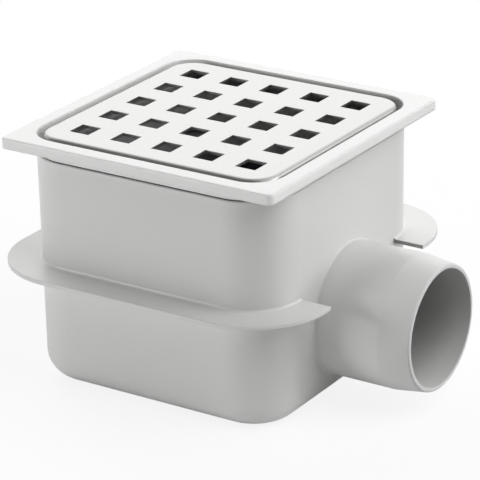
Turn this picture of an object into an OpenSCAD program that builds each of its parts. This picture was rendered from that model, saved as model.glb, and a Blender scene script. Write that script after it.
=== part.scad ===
// Floor gully with a water trap: a moulded body with a side outlet and a collar for the floor
// membrane, a frame that slides up and down in its mouth, a pressed steel grate, and inside it
// a removable trap of a dip tube that stands in a cup of water.
// The origin is the centre of the flat base, +Z is up and +X points out of the outlet.

/* [Body] */
// Height from the base to the top of the frame, at its lowest setting
overall_h = 120; // [116:1:140]
// Width across the flat walls at the rim
body_w = 135; // [130:1:156]
// Radius of the upright corners at the rim
corner_r = 24; // [21:1:30]
// Radius round the bottom edge
bottom_r = 13; // [6:1:16]
// How far each wall leans in from the rim to the base
draft = 0.5; // [0.2:0.1:2]
// Wall thickness
wall = 2.8; // [2.2:0.1:3.6]
// Floor thickness
floor_t = 3; // [2:0.1:5]

/* [Collar] */
// Height of the collar's top face above the base
collar_z = 59.2; // [50:0.2:70]
// How far the collar stands out past the walls at its level
collar_out = 15.4; // [10:0.2:24]
// Thickness of the collar
collar_t = 1.8; // [1.4:0.1:3]
// Radius of the collar's corners
collar_r = 37.5; // [28:0.5:44]
// Free width left on each side of the outlet pipe where the collar stops
collar_clear = 9.5; // [4:0.5:14]
// Radius between the wall and the top of the collar
collar_fillet = 1.2; // [0.6:0.1:2]

/* [Outlet] */
// Outside diameter of the outlet pipe
outlet_od = 63; // [50:0.5:68]
// Wall thickness of the outlet pipe
outlet_wall = 4; // [2.5:0.1:5]
// Height of the pipe's centre above the base
outlet_z = 40.5; // [38:0.5:46]
// Distance from the gully's centre to the mouth of the pipe
outlet_reach = 115.5; // [100:0.5:140]
// Length of the tapered end of the pipe
taper_l = 15; // [6:0.5:24]
// How much the taper takes off the pipe's radius
taper_d = 1.9; // [0.8:0.1:2.4]
// Radius between the wall and the pipe
root_fillet = 1.5; // [0.8:0.1:2.5]

/* [Top frame] */
// How far the frame overhangs the body's rim
frame_lip = 5; // [3:0.1:10]
// Height of the frame's outer edge
frame_t = 5; // [4:0.1:8]
// Thickness of the frame's top plate over its ribs
frame_plate = 2.6; // [1.8:0.1:3.5]
// Radius of the frame's corners
frame_r = 3; // [1.5:0.5:6]
// Radius along the frame's top edge
frame_edge = 0.9; // [0.4:0.1:1.2]
// Height of the neck that shows under the frame
neck_h = 4; // [2.5:0.1:6]
// Height of the open joint between the neck and the rim
joint_gap = 0.7; // [0.4:0.1:1.2]
// Thickness of the frame's skirt inside the body
skirt_t = 2.2; // [1.8:0.1:3]
// Width of the frame's top face between its edge and the grate's recess
border = 7.6; // [6:0.1:12]

/* [Grate] */
// Gap between the grate and the side of its recess
grate_gap = 2.8; // [0.8:0.1:3.4]
// Radius of the grate's corners
grate_r = 12.7; // [8:0.1:20]
// Thickness of the steel sheet
sheet_t = 1.5; // [1:0.1:2]
// Height of the grate's turned-down edge
grate_h = 7.4; // [5:0.1:7.8]
// Radius of the bend round the grate
bend_r = 2.5; // [2:0.1:3]
// Number of square holes along each side
hole_rows = 5; // [3:1:7]
// Width of each square hole
hole_w = 10.5; // [7:0.5:12]
// Sheet left between the outer holes and the grate's edge
hole_margin = 12.2; // [8:0.1:16]

/* [Trap] */
// Depth of the water seal
seal_depth = 50; // [45:1:54]
// Inside radius of the dip tube
dip_r = 20; // [16:0.5:24]
// Wall thickness of the trap's pieces
trap_wall = 2; // [1.6:0.1:2.6]
// Room for the water under the dip tube
dip_gap = 8.5; // [6:0.5:12]
// Height from the cup's rim to the underside of the socket that holds the insert
flow_gap = 12.5; // [10:0.5:16]
// Outside radius of the cup at its rim
cup_r = 42; // [38:0.5:43]
// Radius of the seat that holds the insert
seat_r = 46; // [45:0.5:50]

/* [Hidden] */
$fn = 96;
over = 1;              // how far a cut runs past the face it opens

// Body
rim_z = overall_h - frame_t - neck_h;
corner_c = body_w / 2 - corner_r;
rim_chamfer = 0.5;
collar_half = corner_c + wall_x(collar_z) + collar_out;
bore_r = outlet_od / 2 - outlet_wall;
mouth_round = 0.9;
fillet_sink = 0.2;     // how far the pipe's fillet sinks into the leaning wall

// Trap, from the floor up
cup_floor_t = 2;
cup_taper = 1.4;
cup_bead = 1.2;
cup_round = 3;
dip_z = floor_t + cup_floor_t + dip_gap;
cup_rim_z = dip_z + seal_depth;
socket_z = cup_rim_z + flow_gap;
socket_h = 5;
socket_t = 3;
seat_z = socket_z + socket_h;
seat_t = 3;
seat_top = seat_z + seat_t;
seat_fit = 0.4;        // room for cement between the seat plate and the walls
insert_fit = 0.4;      // radial play of the insert in its socket
flange_w = 5;
flange_t = 2;
flange_z = seat_top - flange_t;
seal_wire = 2.4;
seal_free = 0.25;      // room between the insert's seal and its socket
seal_back = 0.05;      // room between the seal and the bottom of its groove
groove_w = seal_wire + 0.6;
groove_z = socket_z + 1.4;
groove_r = seat_r - seal_free - seal_wire - seal_back;
groove_wall = 1.8;
plug_r = seat_r - insert_fit;
plug_in_r = groove_r - groove_wall;
lead_in = 0.6;         // chamfer that guides the insert into its socket
mouth_chamfer = 1.5;
funnel_h = 10;
rib_t = 2.5;
rib_d = 6;
rib_y = corner_c - 3;
ring_t = 2;
ring_h = 4;
ring_fit = 0.8;
grip_t = 3;
grip_w = 34;
grip_h = 15;
finger_r = 5.5;

// Frame and grate
frame_half = body_w / 2 + frame_lip;
recess_half = frame_half - border;
grate_half = recess_half - grate_gap;
grate_c = grate_half - grate_r;
recess_r = grate_r + grate_gap;
ledge_rise = 1;         // least height of the ledge over the body's rim
ledge_z = max(overall_h - grate_h, rim_z + ledge_rise);
ledge_t = 2.4;
ledge_w = 7.2;
edge_t = 2;
neck_z = rim_z + joint_gap;
neck_inset = 0.3;
seat_inset = 1.5;
skirt_fit = 1;         // play between the skirt and the walls at the rim
skirt_clear = 2;
skirt_z = seat_top + skirt_clear;
skirt_x = corner_r - wall - skirt_fit;
lip_z = skirt_z + 2;
lip_w = 3;
lip_depth = 1;
lip_play = 0.1;        // room at each side of the frame's seal in its groove
lip_root = 2;
lip_tip = 0.8;
lip_free = 0.32;       // room between the frame's seal and the wall
lip_x = wall_x(lip_z) - wall - lip_free;
frame_rib_t = 1.5;
frame_rib_n = 6;
gusset_n = 4;
gusset_inset = 0.4;

// Distance of the outer wall from the corner's centre line at height z
function wall_x(z) = corner_r - draft * (rim_z - z) / rim_z;

// Sweeps a profile round a square with round corners. The profile's X is the distance out from
// the corners' centres, which lie at (+-c, +-c), and its Y is the height.
module around(c) {
    for (q = [0:3]) rotate(90 * q) translate([c, c, 0]) {
        rotate_extrude(angle = 90) children();
        rotate([90, 0, 0]) linear_extrude(2 * c) children();
    }
}

// The solid inside such a sweep, from height z0 to z1. The profile starts at X = 0.
module block(c, z0, z1) {
    around(c) children();
    translate([-c, -c, z0]) cube([2 * c, 2 * c, z1 - z0]);
}

// A plain block with upright sides, half wide from its middle to its side
module slab(half, r, z0, z1) {
    block(half - r, z0, z1) translate([0, z0]) square([r, z1 - z0]);
}

// Profile of the leaning wall, with a round of radius r where it meets the level z0
module wall_profile(inset, z0, r, top, chamfer) {
    x = wall_x(z0 + r) - inset - r;
    head = wall_x(top) - inset;
    polygon([
        [0, z0], [x, z0], [x, z0 + r], [x + r, z0 + r],
        [head, top - chamfer], [head - chamfer, top], [0, top]
    ]);
    translate([x, z0 + r]) intersection() {
        circle(r);
        translate([0, -r]) square(r);
    }
}

// A concave fillet in the angle between the axes, with a root of one tenth that sinks in
module fillet(r) {
    root = r / 10;
    difference() {
        translate([-root, -root]) square(r + root);
        translate([r, r]) circle(r);
    }
}

module collar() {
    half = corner_c + wall_x(collar_z);
    gap = outlet_od + 2 * collar_clear;
    difference() {
        union() {
            slab(collar_half, collar_r, collar_z - collar_t, collar_z);
            around(corner_c) translate([wall_x(collar_z), collar_z]) fillet(collar_fillet);
        }
        translate([corner_c, -gap / 2, collar_z - collar_t - over])
            cube([half, gap, collar_t + collar_fillet + 2 * over]);
    }
}

// Outside of the outlet pipe, from inside the wall to the mouth
module outlet_outside() {
    r = outlet_od / 2;
    mouth_r = r - taper_d;
    rotate([0, 90, 0]) rotate_extrude() {
        polygon([
            [0, corner_c], [r, corner_c], [r, outlet_reach - taper_l],
            [mouth_r, outlet_reach - mouth_round],
            [mouth_r - mouth_round, outlet_reach - mouth_round],
            [mouth_r - mouth_round, outlet_reach], [0, outlet_reach]
        ]);
        translate([mouth_r - mouth_round, outlet_reach - mouth_round]) circle(mouth_round);
        translate([r, corner_c + wall_x(outlet_z) - fillet_sink]) {
            fillet(root_fillet);
            translate([0, -wall / 2]) square([root_fillet, wall / 2]);
        }
    }
}

// Upright ribs that carry the seat plate
module seat_ribs() {
    inside = corner_c + wall_x(seat_z) - wall;
    for (q = [0:3], s = [-1, 1]) rotate(90 * q)
        translate([inside - rib_d, s * rib_y - rib_t / 2, 0]) cube([2 * rib_d, rib_t, seat_z]);
}

// Low ring on the floor that centres the cup, with four gaps for the water
module cup_ring() {
    inner = cup_r - cup_taper + ring_fit;
    difference() {
        cylinder(r = inner + ring_t, h = floor_t + ring_h);
        translate([0, 0, -over]) cylinder(r = inner, h = floor_t + ring_h + 2 * over);
        for (a = [45, 135]) rotate(a)
            translate([-body_w / 2, -ring_h, floor_t]) cube([body_w, 2 * ring_h, ring_h + over]);
    }
}

module gully_body() {
    color("#c2c2c0") difference() {
        union() {
            block(corner_c, 0, rim_z) wall_profile(0, 0, bottom_r, rim_z, rim_chamfer);
            collar();
            translate([0, 0, outlet_z]) outlet_outside();
        }
        difference() {
            block(corner_c, floor_t, rim_z + over)
                wall_profile(wall, floor_t, bottom_r - wall, rim_z + over, 0);
            seat_ribs();
            cup_ring();
        }
        translate([corner_c, 0, outlet_z]) rotate([0, 90, 0])
            cylinder(r = bore_r, h = outlet_reach);
    }
}

// Plate cemented on the ribs, with a stepped socket for the insert
module seat_plate() {
    x = wall_x(seat_z) - wall - seat_fit;
    color("#b4b6b6") difference() {
        union() {
            slab(corner_c + x, x, seat_z, seat_top);
            translate([0, 0, socket_z]) cylinder(r = seat_r + socket_t, h = socket_h + over);
            translate([0, 0, flange_z - socket_t])
                cylinder(r = seat_r + flange_w + socket_t, h = socket_t);
        }
        translate([0, 0, socket_z - over]) cylinder(r = seat_r, h = socket_h + seat_t + 2 * over);
        translate([0, 0, flange_z]) cylinder(r = seat_r + flange_w, h = flange_t + over);
    }
}

module trap_cup() {
    foot_r = cup_r - cup_taper;
    base = floor_t;
    inner_z = base + cup_floor_t;
    color("#3f4347") rotate_extrude() difference() {
        union() {
            polygon([
                [0, base], [foot_r - cup_round, base], [foot_r - cup_round, base + cup_round],
                [foot_r, base + cup_round], [cup_r, cup_rim_z - cup_bead], [0, cup_rim_z - cup_bead]
            ]);
            translate([foot_r - cup_round, base + cup_round]) circle(cup_round);
            translate([0, cup_rim_z - 2 * cup_bead]) square([cup_r, 2 * cup_bead]);
            translate([cup_r, cup_rim_z - cup_bead]) circle(cup_bead);
        }
        translate([-body_w, base]) square([body_w, cup_rim_z]);
        polygon([
            [0, inner_z], [foot_r - cup_round, inner_z],
            [foot_r - trap_wall, inner_z + cup_round - trap_wall],
            [cup_r - trap_wall, cup_rim_z + over], [0, cup_rim_z + over]
        ]);
    }
}

// Grip across the insert's mouth: a strip between its walls with a finger tab
module grip() {
    reach = (plug_in_r + groove_r) / 2;
    rotate([90, 0, 90]) translate([0, 0, -grip_t / 2]) linear_extrude(grip_t) difference() {
        union() {
            translate([-reach, groove_z]) square([2 * reach, flange_z - groove_z]);
            polygon([
                [-grip_w / 2, flange_z - 1], [grip_w / 2, flange_z - 1],
                [grip_w / 3, flange_z + grip_h], [-grip_w / 3, flange_z + grip_h]
            ]);
        }
        translate([0, flange_z + grip_h / 2]) circle(finger_r);
    }
}

module trap_insert() {
    tube_r = dip_r + trap_wall;
    flange_r = seat_r + flange_w - insert_fit;
    funnel_z = socket_z - funnel_h;
    color("#46494d") {
        rotate_extrude() polygon([
            [plug_in_r + mouth_chamfer, seat_top], [flange_r, seat_top],
            [flange_r, flange_z], [plug_r, flange_z],
            [plug_r, groove_z + groove_w], [groove_r, groove_z + groove_w],
            [groove_r, groove_z], [plug_r, groove_z],
            [plug_r, socket_z + lead_in], [plug_r - lead_in, socket_z],
            [tube_r, funnel_z], [tube_r, dip_z], [dip_r, dip_z],
            [dip_r, funnel_z + trap_wall / 2], [plug_in_r, socket_z + trap_wall / 2],
            [plug_in_r, seat_top - mouth_chamfer]
        ]);
        grip();
    }
}

module insert_seal() {
    color("#202224") rotate_extrude()
        translate([groove_r + seal_back + seal_wire / 2, groove_z + groove_w / 2])
            circle(d = seal_wire);
}

// Ribs in the hollow under the frame's edge
module frame_ribs() {
    pitch = 2 * corner_c / (frame_rib_n - 1);
    for (q = [0:3], i = [0:frame_rib_n - 1]) rotate(90 * q)
        translate([corner_c, i * pitch - corner_c - frame_rib_t / 2, rim_z])
            cube([frame_half, frame_rib_t, frame_t + neck_h]);
    for (q = [0:3]) rotate(90 * q + 45)
        translate([corner_c, -frame_rib_t / 2, rim_z]) cube([2 * frame_half, frame_rib_t, frame_t + neck_h]);
}

// Gussets under the ledge that carries the grate
module ledge_gussets() {
    pitch = 2 * corner_c / (gusset_n - 1);
    x = corner_c + skirt_x - skirt_t;
    run = x - (recess_half - ledge_w) - gusset_inset;
    for (q = [0:3], i = [0:gusset_n - 1]) rotate(90 * q)
        translate([x, i * pitch - corner_c + frame_rib_t / 2, ledge_z - ledge_t])
            rotate([90, 0, 0]) linear_extrude(frame_rib_t)
                polygon([[-run, over], [over, over], [over, -run], [0, -run], [-run, 0]]);
}

module frame_top_profile() {
    square([frame_r, frame_t - frame_edge]);
    square([frame_r - frame_edge, frame_t]);
    translate([frame_r - frame_edge, frame_t - frame_edge]) circle(frame_edge);
}

module top_frame() {
    bottom = overall_h - frame_t;
    neck_x = corner_r - neck_inset;
    hollow_r = max(frame_r - edge_t, 0.5);
    color("#f1f1ef") {
        difference() {
            union() {
                difference() {
                    block(frame_half - frame_r, bottom, overall_h)
                        translate([0, bottom]) frame_top_profile();
                    difference() {
                        slab(frame_half - edge_t, hollow_r, bottom - over, overall_h - frame_plate);
                        slab(recess_half + edge_t, recess_r + edge_t, bottom - 2 * over, overall_h);
                        frame_ribs();
                    }
                }
                slab(corner_c + neck_x, neck_x, neck_z, overall_h - frame_edge - 0.5);
                slab(corner_c + neck_x - seat_inset, neck_x - seat_inset, rim_z, neck_z);
                slab(corner_c + skirt_x, skirt_x, skirt_z, rim_z);
            }
            slab(recess_half, recess_r, ledge_z, overall_h + over);
            slab(recess_half - ledge_w, recess_r - ledge_w, ledge_z - ledge_t - over, ledge_z);
            slab(corner_c + skirt_x - skirt_t, skirt_x - skirt_t, skirt_z - over, ledge_z - ledge_t);
            around(corner_c) translate([skirt_x - lip_depth, lip_z]) square([skirt_t, lip_w]);
        }
        ledge_gussets();
    }
}

module frame_seal() {
    middle = lip_z + lip_w / 2;
    color("#2a2c2e") around(corner_c) {
        translate([skirt_x - lip_depth, lip_z + lip_play])
            square([lip_depth, lip_w - 2 * lip_play]);
        polygon([
            [skirt_x - lip_play, middle - lip_root / 2], [lip_x, middle - lip_tip / 2],
            [lip_x, middle + lip_tip / 2], [skirt_x - lip_play, middle + lip_root / 2]
        ]);
    }
}

// Section of the pressed sheet at the grate's edge: the plate, the bend and the turned-down side
module grate_edge() {
    inner = bend_r - sheet_t;
    x = grate_r - bend_r;
    z = overall_h - bend_r;
    translate([0, overall_h - sheet_t]) square([x, sheet_t]);
    translate([grate_r - sheet_t, ledge_z]) square([sheet_t, z - ledge_z]);
    intersection() {
        difference() {
            translate([x, z]) circle(bend_r);
            translate([x, z]) circle(inner);
        }
        translate([x, z]) square(bend_r);
    }
}

module grate() {
    pitch = (2 * (grate_half - hole_margin) - hole_w) / (hole_rows - 1);
    first = -pitch * (hole_rows - 1) / 2;
    color("#dfe0e0") difference() {
        block(grate_c, overall_h - sheet_t, overall_h) grate_edge();
        for (i = [0:hole_rows - 1], j = [0:hole_rows - 1])
            translate([first + i * pitch, first + j * pitch, overall_h - sheet_t / 2])
                cube([hole_w, hole_w, 2 * sheet_t], center = true);
    }
}

gully_body();
seat_plate();
trap_cup();
trap_insert();
insert_seal();
top_frame();
frame_seal();
grate();
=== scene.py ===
"""A floor gully with a water trap, dressed for rendering.

The pieces are the gully's own solids. Each section below gives one piece, or one group of like
pieces, its finish, in the order in which the gully is put together. The last sections set up the
studio round it: the floor, the room, the lamps and the camera.
"""

import math

import bpy
from mathutils import Euler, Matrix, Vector


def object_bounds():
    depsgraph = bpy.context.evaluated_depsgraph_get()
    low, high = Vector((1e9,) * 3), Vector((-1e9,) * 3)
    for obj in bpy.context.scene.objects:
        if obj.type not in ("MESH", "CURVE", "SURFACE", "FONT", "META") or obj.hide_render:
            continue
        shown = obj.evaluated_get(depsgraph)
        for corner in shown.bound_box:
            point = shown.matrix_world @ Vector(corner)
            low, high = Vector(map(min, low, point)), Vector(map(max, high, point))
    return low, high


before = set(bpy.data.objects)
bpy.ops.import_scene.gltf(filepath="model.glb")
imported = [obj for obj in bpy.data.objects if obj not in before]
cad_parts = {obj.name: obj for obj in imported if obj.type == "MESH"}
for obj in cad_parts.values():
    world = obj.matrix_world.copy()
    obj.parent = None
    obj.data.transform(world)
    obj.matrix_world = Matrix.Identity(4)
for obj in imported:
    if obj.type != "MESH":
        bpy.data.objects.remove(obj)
cad_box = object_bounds()
bpy.ops.object.select_all(action="DESELECT")

# ---------------------------------------------------------------------------------------------
# Gully body. One injection moulding in grey ABS: the box, the collar and the outlet pipe. The
# mould was spark-eroded, so the walls have a fine grain and an even satin sheen.
# ---------------------------------------------------------------------------------------------

MM = 0.001  # of a metre, the unit of every plain length
COLOUR_A, COLOUR_B, COLOUR_OUT = 6, 7, 2  # the sockets of a Mix node that mixes colours

CLOUD_WIDTH = 38 * MM  # of the slow clouds in a moulding's tone
SHEEN_WIDTH = 11 * MM  # of the patches in its sheen
NOISE_SPAN = (0.3, 0.7)  # the values that a noise takes over most of a surface

# Painted shade: the colour darkens where little light gets in, in open joints and deep hollows.
# Each span runs from shut in all round to open enough to keep the whole colour.
JOINT_REACH = 3.5 * MM  # how close the next surface is at an open joint
JOINT_SPAN = (0.1, 0.5)
JOINT_TONE = 0.2  # the share of the colour that the painted shade leaves deep in a joint
HOLLOW_REACH = 60 * MM  # how close to each other the walls of a deep hollow stand
HOLLOW_SPAN = (0.1, 0.55)


def linear(hex_colour):
    """The linear RGBA of an sRGB hex colour."""
    channels = [int(hex_colour[i : i + 2], 16) / 255 for i in (0, 2, 4)]
    curve = [c / 12.92 if c <= 0.04045 else ((c + 0.055) / 1.055) ** 2.4 for c in channels]
    return (*curve, 1.0)


def add(material, kind, inputs=None, **settings):
    """Adds a node to a material, sets its properties, and sets or links its inputs."""
    made = material.node_tree.nodes.new(kind)
    for name, value in settings.items():
        setattr(made, name, value)
    for name, value in (inputs or {}).items():
        if isinstance(value, bpy.types.NodeSocket):
            material.node_tree.links.new(value, made.inputs[name])
        else:
            made.inputs[name].default_value = value
    return made


def new_material(name):
    """A node material with nothing in it yet."""
    material = bpy.data.materials.new(name)
    material.use_nodes = True
    material.node_tree.nodes.clear()
    return material


def moulded_plastic(
    name,
    light,
    dark,
    roughness,
    grain_mm,
    grain_depth_mm,
    ior=1.54,
    edge_mm=0.35,
    spread=0.02,
    hollow_tone=1.0,
):
    """Injection-moulded plastic: two close tones in slow clouds, an uneven sheen, and the grain
    that the mould leaves. Edges catch the light as a moulding's small radii do. Painted shade
    darkens the colour within a few millimetres of an open joint, and in deep hollows down to a
    given share of it. The real grain is 0.1 to 0.3 mm wide, too fine to show, so it is drawn
    coarser."""
    material = new_material(name)
    place = add(material, "ShaderNodeTexCoord").outputs["Object"]
    clouds = add(
        material,
        "ShaderNodeTexNoise",
        {"Vector": place, "Scale": 1 / CLOUD_WIDTH, "Detail": 3.0},
    )
    tone = add(
        material,
        "ShaderNodeMix",
        {"Factor": clouds.outputs["Fac"], COLOUR_A: linear(dark), COLOUR_B: linear(light)},
        data_type="RGBA",
    )
    patches = add(
        material,
        "ShaderNodeTexNoise",
        {"Vector": place, "Scale": 1 / SHEEN_WIDTH, "Detail": 4.0},
    )
    sheen = add(
        material,
        "ShaderNodeMapRange",
        {
            "Value": patches.outputs["Fac"],
            "From Min": NOISE_SPAN[0],
            "From Max": NOISE_SPAN[1],
            "To Min": roughness - spread,
            "To Max": roughness + spread,
        },
    )
    # Painted shade: ambient occlusion darkens the colour within a few millimetres of an open
    # joint.
    joint = add(material, "ShaderNodeAmbientOcclusion", {"Distance": JOINT_REACH}, samples=8)
    shade = add(
        material,
        "ShaderNodeMapRange",
        {
            "Value": joint.outputs["AO"],
            "From Min": JOINT_SPAN[0],
            "From Max": JOINT_SPAN[1],
            "To Min": JOINT_TONE,
            "To Max": 1.0,
        },
    ).outputs["Result"]
    # Painted shade: deep hollows, such as the outlet's bore, darken towards the given share of
    # the colour.
    if hollow_tone < 1:
        hollow = add(
            material,
            "ShaderNodeAmbientOcclusion",
            {"Distance": HOLLOW_REACH},
            samples=16,
            only_local=True,
        )
        hollow_shade = add(
            material,
            "ShaderNodeMapRange",
            {
                "Value": hollow.outputs["AO"],
                "From Min": HOLLOW_SPAN[0],
                "From Max": HOLLOW_SPAN[1],
                "To Min": hollow_tone,
                "To Max": 1.0,
            },
        ).outputs["Result"]
        shade = add(
            material,
            "ShaderNodeMath",
            {0: shade, 1: hollow_shade},
            operation="MULTIPLY",
        ).outputs["Value"]
    # The tone, darkened by the painted shade.
    paint = add(
        material,
        "ShaderNodeMix",
        {"Factor": 1.0, COLOUR_A: tone.outputs[COLOUR_OUT], COLOUR_B: shade},
        data_type="RGBA",
        blend_type="MULTIPLY",
    )
    grain = add(
        material,
        "ShaderNodeTexNoise",
        {"Vector": place, "Scale": 1 / (grain_mm * MM), "Detail": 2.0},
    )
    rounded = add(material, "ShaderNodeBevel", {"Radius": edge_mm * MM}, samples=6)
    relief = add(
        material,
        "ShaderNodeBump",
        {
            "Height": grain.outputs["Fac"],
            "Distance": grain_depth_mm * MM,
            "Strength": 1.0,
            "Normal": rounded.outputs["Normal"],
        },
    )
    surface = add(
        material,
        "ShaderNodeBsdfPrincipled",
        {
            "Base Color": paint.outputs[COLOUR_OUT],
            "Roughness": sheen.outputs["Result"],
            "IOR": ior,
            "Normal": relief.outputs["Normal"],
        },
    )
    add(material, "ShaderNodeOutputMaterial", {"Surface": surface.outputs["BSDF"]})
    return material


def finish_node(node, material):
    """Gives every material slot of one of the gully's solids the same finish."""
    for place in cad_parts[node].material_slots:
        place.material = material


body_plastic = moulded_plastic(
    "ABS, grey, moulded in a spark-eroded tool",
    light="D8D8D7",
    dark="D4D4D3",
    roughness=0.36,
    grain_mm=0.7,
    grain_depth_mm=0.012,
    edge_mm=0.6,
    # Painted shade: the outlet's bore and other deep hollows darken to a fifth of the colour.
    hollow_tone=0.2,
)
finish_node("gully_body", body_plastic)

# ---------------------------------------------------------------------------------------------
# Seat plate. A flat moulding in the same grey ABS, cemented on ribs inside the body. Its round
# socket takes the insert. The mould was only polished, so it is smoother than the walls.
# ---------------------------------------------------------------------------------------------

seat_plastic = moulded_plastic(
    "ABS, grey, moulded in a polished tool",
    light="BDBEBE",
    dark="B6B7B8",
    roughness=0.34,
    grain_mm=1.4,
    grain_depth_mm=0.006,
    # Painted shade: the seat's deep hollows darken to a fifth of the colour.
    hollow_tone=0.2,
)
finish_node("seat_plate", seat_plastic)

# ---------------------------------------------------------------------------------------------
# Trap cup and insert. The loose cup and the dip tube with its funnel are moulded in dark grey
# polypropylene, which stays slightly waxy and shows soft flow marks.
# ---------------------------------------------------------------------------------------------

trap_plastic = moulded_plastic(
    "Polypropylene, dark grey, moulded",
    light="54575B",
    dark="4B4E52",
    roughness=0.36,
    grain_mm=2.2,
    grain_depth_mm=0.01,
    ior=1.49,
    # Painted shade: the deep hollows of the cup and the insert darken to a fifth of the colour.
    hollow_tone=0.2,
)
finish_node("trap_cup", trap_plastic)
finish_node("trap_insert", trap_plastic)

# ---------------------------------------------------------------------------------------------
# Seals. The insert's ring and the frame's lip are moulded in black EPDM rubber, matt, with the
# faint pale bloom that such rubber gets in store.
# ---------------------------------------------------------------------------------------------

BLOOM_WIDTH = 6 * MM
RUBBER_GRAIN = 0.4 * MM  # coarser than the real skin's, which is too fine to show
RUBBER_GRAIN_DEPTH = 0.02 * MM


def rubber(name, bare, bloomed):
    """Matt rubber with a pale bloom in patches."""
    material = new_material(name)
    place = add(material, "ShaderNodeTexCoord").outputs["Object"]
    patches = add(
        material,
        "ShaderNodeTexNoise",
        {"Vector": place, "Scale": 1 / BLOOM_WIDTH, "Detail": 5.0},
    )
    tone = add(
        material,
        "ShaderNodeMix",
        {"Factor": patches.outputs["Fac"], COLOUR_A: linear(bare), COLOUR_B: linear(bloomed)},
        data_type="RGBA",
    )
    skin = add(
        material,
        "ShaderNodeTexNoise",
        {"Vector": place, "Scale": 1 / RUBBER_GRAIN, "Detail": 2.0},
    )
    relief = add(
        material,
        "ShaderNodeBump",
        {"Height": skin.outputs["Fac"], "Distance": RUBBER_GRAIN_DEPTH, "Strength": 1.0},
    )
    surface = add(
        material,
        "ShaderNodeBsdfPrincipled",
        {
            "Base Color": tone.outputs[COLOUR_OUT],
            "Roughness": 0.78,
            "IOR": 1.52,
            "Normal": relief.outputs["Normal"],
        },
    )
    add(material, "ShaderNodeOutputMaterial", {"Surface": surface.outputs["BSDF"]})
    return material


seal_rubber = rubber("EPDM rubber, black", bare="1B1C1D", bloomed="303233")
finish_node("insert_seal", seal_rubber)
finish_node("frame_seal", seal_rubber)

# ---------------------------------------------------------------------------------------------
# Top frame. White ABS, moulded in a fine satin tool, which leaves a smooth, even sheen, because
# it is the only plastic that stays in sight once the floor is tiled. It slides in the body's
# mouth and carries the grate on a ledge.
# ---------------------------------------------------------------------------------------------

frame_plastic = moulded_plastic(
    "ABS, white, moulded in a satin tool",
    light="E8E8E7",
    dark="E6E6E5",
    roughness=0.3,
    grain_mm=0.9,
    grain_depth_mm=0.004,
    ior=1.5,
    edge_mm=1.4,
    spread=0.006,
)
finish_node("top_frame", frame_plastic)

# ---------------------------------------------------------------------------------------------
# Grate. One blank of stainless sheet, pressed over its edge, with the holes punched. The sheet
# keeps the even, slightly grainy satin of its cold-rolled and pickled surface.
# ---------------------------------------------------------------------------------------------

STEEL_GRAIN = (1.4 * MM, 0.6 * MM, 1 * MM)  # coarser than the real one, too fine to show
STEEL_GRAIN_DEPTH = 0.004 * MM
STEEL_EDGE = 0.25 * MM  # the small round that punching and deburring leave


def satin_steel(name, light, dark, roughness, spread):
    """Cold-rolled stainless sheet: close tones in a fine grain, which is longest along X, the
    rolling direction. The sheen follows the same grain."""
    material = new_material(name)
    place = add(material, "ShaderNodeTexCoord").outputs["Object"]
    rolled = add(
        material,
        "ShaderNodeMapping",
        {"Vector": place, "Scale": tuple(1 / width for width in STEEL_GRAIN)},
    )
    grain = add(
        material,
        "ShaderNodeTexNoise",
        {"Vector": rolled.outputs["Vector"], "Scale": 1.0, "Detail": 4.0},
    )
    tone = add(
        material,
        "ShaderNodeMix",
        {"Factor": grain.outputs["Fac"], COLOUR_A: linear(dark), COLOUR_B: linear(light)},
        data_type="RGBA",
    )
    sheen = add(
        material,
        "ShaderNodeMapRange",
        {
            "Value": grain.outputs["Fac"],
            "To Min": roughness - spread,
            "To Max": roughness + spread,
        },
    )
    rounded = add(material, "ShaderNodeBevel", {"Radius": STEEL_EDGE}, samples=6)
    relief = add(
        material,
        "ShaderNodeBump",
        {
            "Height": grain.outputs["Fac"],
            "Distance": STEEL_GRAIN_DEPTH,
            "Strength": 1.0,
            "Normal": rounded.outputs["Normal"],
        },
    )
    surface = add(
        material,
        "ShaderNodeBsdfPrincipled",
        {
            "Base Color": tone.outputs[COLOUR_OUT],
            "Metallic": 1.0,
            "Roughness": sheen.outputs["Result"],
            "Normal": relief.outputs["Normal"],
        },
    )
    add(material, "ShaderNodeOutputMaterial", {"Surface": surface.outputs["BSDF"]})
    return material


grate_steel = satin_steel(
    "Stainless steel sheet, cold-rolled satin",
    light="C9C9C7",
    dark="ABABA9",
    roughness=0.36,
    spread=0.07,
)
finish_node("grate", grate_steel)

# ---------------------------------------------------------------------------------------------
# Studio floor. Matt white under the gully. The camera sees most of it as plain white, so the
# shadow is soft and weak and ends before the floor's far part.
# ---------------------------------------------------------------------------------------------

scene = bpy.context.scene
scene.view_settings.view_transform = "Standard"

FLOOR_WIDTH = 14.0
FLOOR_DROP = 0.2 * MM  # below the gully's base, so that the two faces don't share a plane
FLOOR_WHITE = 0.86  # the share of the floor that the camera sees as plain white, under the shadow
SHADOW_REACH = (150 * MM, 450 * MM)  # where the shadow starts to fade, and where it ends

# A dark card begins under the outlet's mouth and reaches outwards and back from there. Only
# bounced light meets it, and it keeps the pipe's bore dark.
CARD_ALONG = (105 * MM, 150 * MM)  # over which its edge softens, along X
CARD_ACROSS = (-150 * MM, -80 * MM)  # the same along Y

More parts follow.
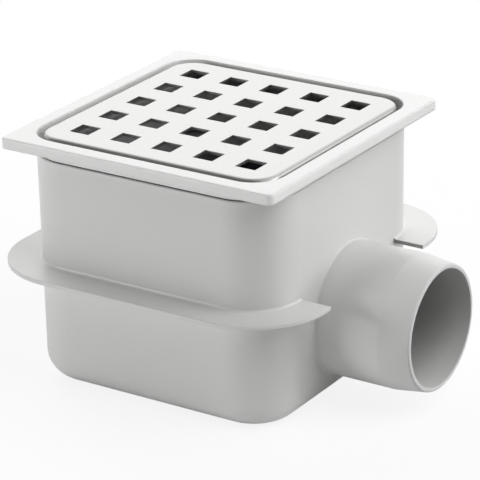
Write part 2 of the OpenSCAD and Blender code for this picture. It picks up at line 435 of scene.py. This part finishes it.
bpy.ops.mesh.primitive_plane_add(size=FLOOR_WIDTH, location=(0, 0, cad_box[0].z - FLOOR_DROP))
floor = bpy.context.object
floor.name = "studio_floor"
floor_paint = new_material("Matt white studio floor")
floor_rays = add(floor_paint, "ShaderNodeLightPath")
floor_place = add(floor_paint, "ShaderNodeTexCoord").outputs["Object"]
floor_axes = add(floor_paint, "ShaderNodeSeparateXYZ", {"Vector": floor_place})
card_along = add(
    floor_paint,
    "ShaderNodeMapRange",
    {"Value": floor_axes.outputs["X"], "From Min": CARD_ALONG[0], "From Max": CARD_ALONG[1]},
    interpolation_type="SMOOTHSTEP",
)
card_across = add(
    floor_paint,
    "ShaderNodeMapRange",
    {"Value": floor_axes.outputs["Y"], "From Min": CARD_ACROSS[0], "From Max": CARD_ACROSS[1]},
    interpolation_type="SMOOTHSTEP",
)
card = add(
    floor_paint,
    "ShaderNodeMath",
    {0: card_along.outputs["Result"], 1: card_across.outputs["Result"]},
    operation="MULTIPLY",
)
card_met = add(
    floor_paint,
    "ShaderNodeMath",
    {0: card.outputs["Value"], 1: floor_rays.outputs["Is Diffuse Ray"]},
    operation="MULTIPLY",
)
floor_tone = add(
    floor_paint,
    "ShaderNodeMix",
    {
        "Factor": card_met.outputs["Value"],
        COLOUR_A: linear("F8F8F8"),
        COLOUR_B: linear("505050"),
    },
    data_type="RGBA",
)
floor_matt = add(floor_paint, "ShaderNodeBsdfDiffuse", {"Color": floor_tone.outputs[COLOUR_OUT]})
floor_white = add(
    floor_paint,
    "ShaderNodeEmission",
    {"Color": linear("FFFFFF"), "Strength": 1.0},
)
floor_reach = add(floor_paint, "ShaderNodeVectorMath", {0: floor_place}, operation="LENGTH")
floor_plain = add(
    floor_paint,
    "ShaderNodeMapRange",
    {
        "Value": floor_reach.outputs["Value"],
        "From Min": SHADOW_REACH[0],
        "From Max": SHADOW_REACH[1],
        "To Min": FLOOR_WHITE,
        "To Max": 1.0,
    },
    interpolation_type="SMOOTHSTEP",
)
floor_share = add(
    floor_paint,
    "ShaderNodeMath",
    {0: floor_rays.outputs["Is Camera Ray"], 1: floor_plain.outputs["Result"]},
    operation="MULTIPLY",
)
floor_surface = add(
    floor_paint,
    "ShaderNodeMixShader",
    {
        0: floor_share.outputs["Value"],
        1: floor_matt.outputs["BSDF"],
        2: floor_white.outputs["Emission"],
    },
)
add(floor_paint, "ShaderNodeOutputMaterial", {"Surface": floor_surface.outputs["Shader"]})
floor.data.materials.append(floor_paint)

# ---------------------------------------------------------------------------------------------
# Room. White all round, but dim in front of the gully and above it, left of the camera. Only
# gloss and metal mirror the room: the lamps alone light matt surfaces.
# ---------------------------------------------------------------------------------------------


def direction(azimuth, elevation):
    """The unit vector away from the gully. Azimuth 0 is in front, towards -Y, and 90 is +X."""
    a, e = math.radians(azimuth), math.radians(elevation)
    return Vector((math.sin(a) * math.cos(e), -math.cos(a) * math.cos(e), math.sin(e)))


DIM_SIDE = direction(azimuth=-20, elevation=40)
DIM_EDGE = math.cos(math.radians(75))  # beyond this angle from it, the room is white
DIM_CORE = math.cos(math.radians(30))  # within this angle of it, the room is at its dimmest
DIM_LEVEL = 0.15  # of the white, where the room is dimmest

world = bpy.data.worlds.new("White studio with a dim side")
world.use_nodes = True
world.node_tree.nodes.clear()
scene.world = world
rays = add(world, "ShaderNodeLightPath")
towards = add(world, "ShaderNodeTexCoord").outputs["Generated"]
dimness = add(world, "ShaderNodeVectorMath", {0: towards, 1: DIM_SIDE}, operation="DOT_PRODUCT")
room_level = add(
    world,
    "ShaderNodeMapRange",
    {
        "Value": dimness.outputs["Value"],
        "From Min": DIM_EDGE,
        "From Max": DIM_CORE,
        "To Min": 1.0,
        "To Max": DIM_LEVEL,
    },
    interpolation_type="SMOOTHSTEP",
)
in_gloss = add(
    world,
    "ShaderNodeMath",
    {0: rays.outputs["Is Glossy Ray"], 1: room_level.outputs["Result"]},
    operation="MULTIPLY",
)
seen = add(
    world,
    "ShaderNodeMath",
    {0: rays.outputs["Is Camera Ray"], 1: rays.outputs["Is Transmission Ray"]},
    operation="MAXIMUM",
)
strength = add(
    world,
    "ShaderNodeMath",
    {0: seen.outputs["Value"], 1: in_gloss.outputs["Value"]},
    operation="MAXIMUM",
)
sky = add(
    world,
    "ShaderNodeBackground",
    {"Color": linear("FFFFFF"), "Strength": strength.outputs["Value"]},
)
add(world, "ShaderNodeOutputWorld", {"Surface": sky.outputs["Background"]})

# ---------------------------------------------------------------------------------------------
# Lamps. Seven soft boxes stand round the gully, all at the same distance. The three low ones at
# the back left, front left and right leave soft highlights, and the others only add light.
# ---------------------------------------------------------------------------------------------

LAMP_DISTANCE = 1.6
LAMP_AIM = Vector((0, 0, 60 * MM))  # the gully's middle


def softbox(name, size, watts, azimuth, elevation, mirrored=True):
    """A square soft lamp aimed at the gully's middle. One that isn't mirrored lights the
    surfaces but leaves no highlight on gloss and metal."""
    lamp = bpy.data.lights.new(name, "AREA")
    lamp.shape = "SQUARE"
    lamp.size = size
    lamp.energy = watts
    holder = bpy.data.objects.new(name, lamp)
    scene.collection.objects.link(holder)
    away = direction(azimuth, elevation)
    holder.location = LAMP_AIM + away * LAMP_DISTANCE
    holder.rotation_euler = (-away).to_track_quat("-Z", "Y").to_euler()
    holder.visible_glossy = mirrored


softbox("softbox_back_left", size=1.6, watts=6.3, azimuth=-147, elevation=24)
softbox("softbox_left", size=0.9, watts=10.0, azimuth=-120, elevation=32, mirrored=False)
softbox("softbox_front_left", size=0.5, watts=9.6, azimuth=-38, elevation=8)
softbox("softbox_right", size=0.9, watts=11.5, azimuth=120, elevation=15)
softbox("softbox_above_right", size=1.2, watts=14.4, azimuth=90, elevation=52, mirrored=False)
softbox("softbox_above_back", size=1.2, watts=3.5, azimuth=-170, elevation=50, mirrored=False)
softbox("softbox_above_front", size=1.2, watts=1.6, azimuth=0, elevation=60, mirrored=False)

# ---------------------------------------------------------------------------------------------
# Camera. It looks down on the corner between the outlet's wall and the wall to its left, from
# far off with a long lens, so that edges that are parallel stay nearly so.
# ---------------------------------------------------------------------------------------------

CAMERA_AIM = Vector((17.7, -13.8, 67.9)) * MM
CAMERA_AZIMUTH = math.radians(33.29)
CAMERA_ELEVATION = math.radians(22.20)
CAMERA_ROLL = math.radians(-1.15)
CAMERA_DISTANCE = 1289.8 * MM

lens = bpy.data.cameras.new("camera")
lens.lens = 211.4
lens.sensor_width = 36
lens.clip_start = 0.05
camera = bpy.data.objects.new("camera", lens)
scene.collection.objects.link(camera)
level = Euler((math.pi / 2 - CAMERA_ELEVATION, 0, CAMERA_AZIMUTH)).to_matrix()
to_camera = level @ Vector((0, 0, 1))
camera.location = CAMERA_AIM + to_camera * CAMERA_DISTANCE
camera.rotation_euler = (level @ Euler((0, 0, CAMERA_ROLL)).to_matrix()).to_euler()
scene.camera = camera
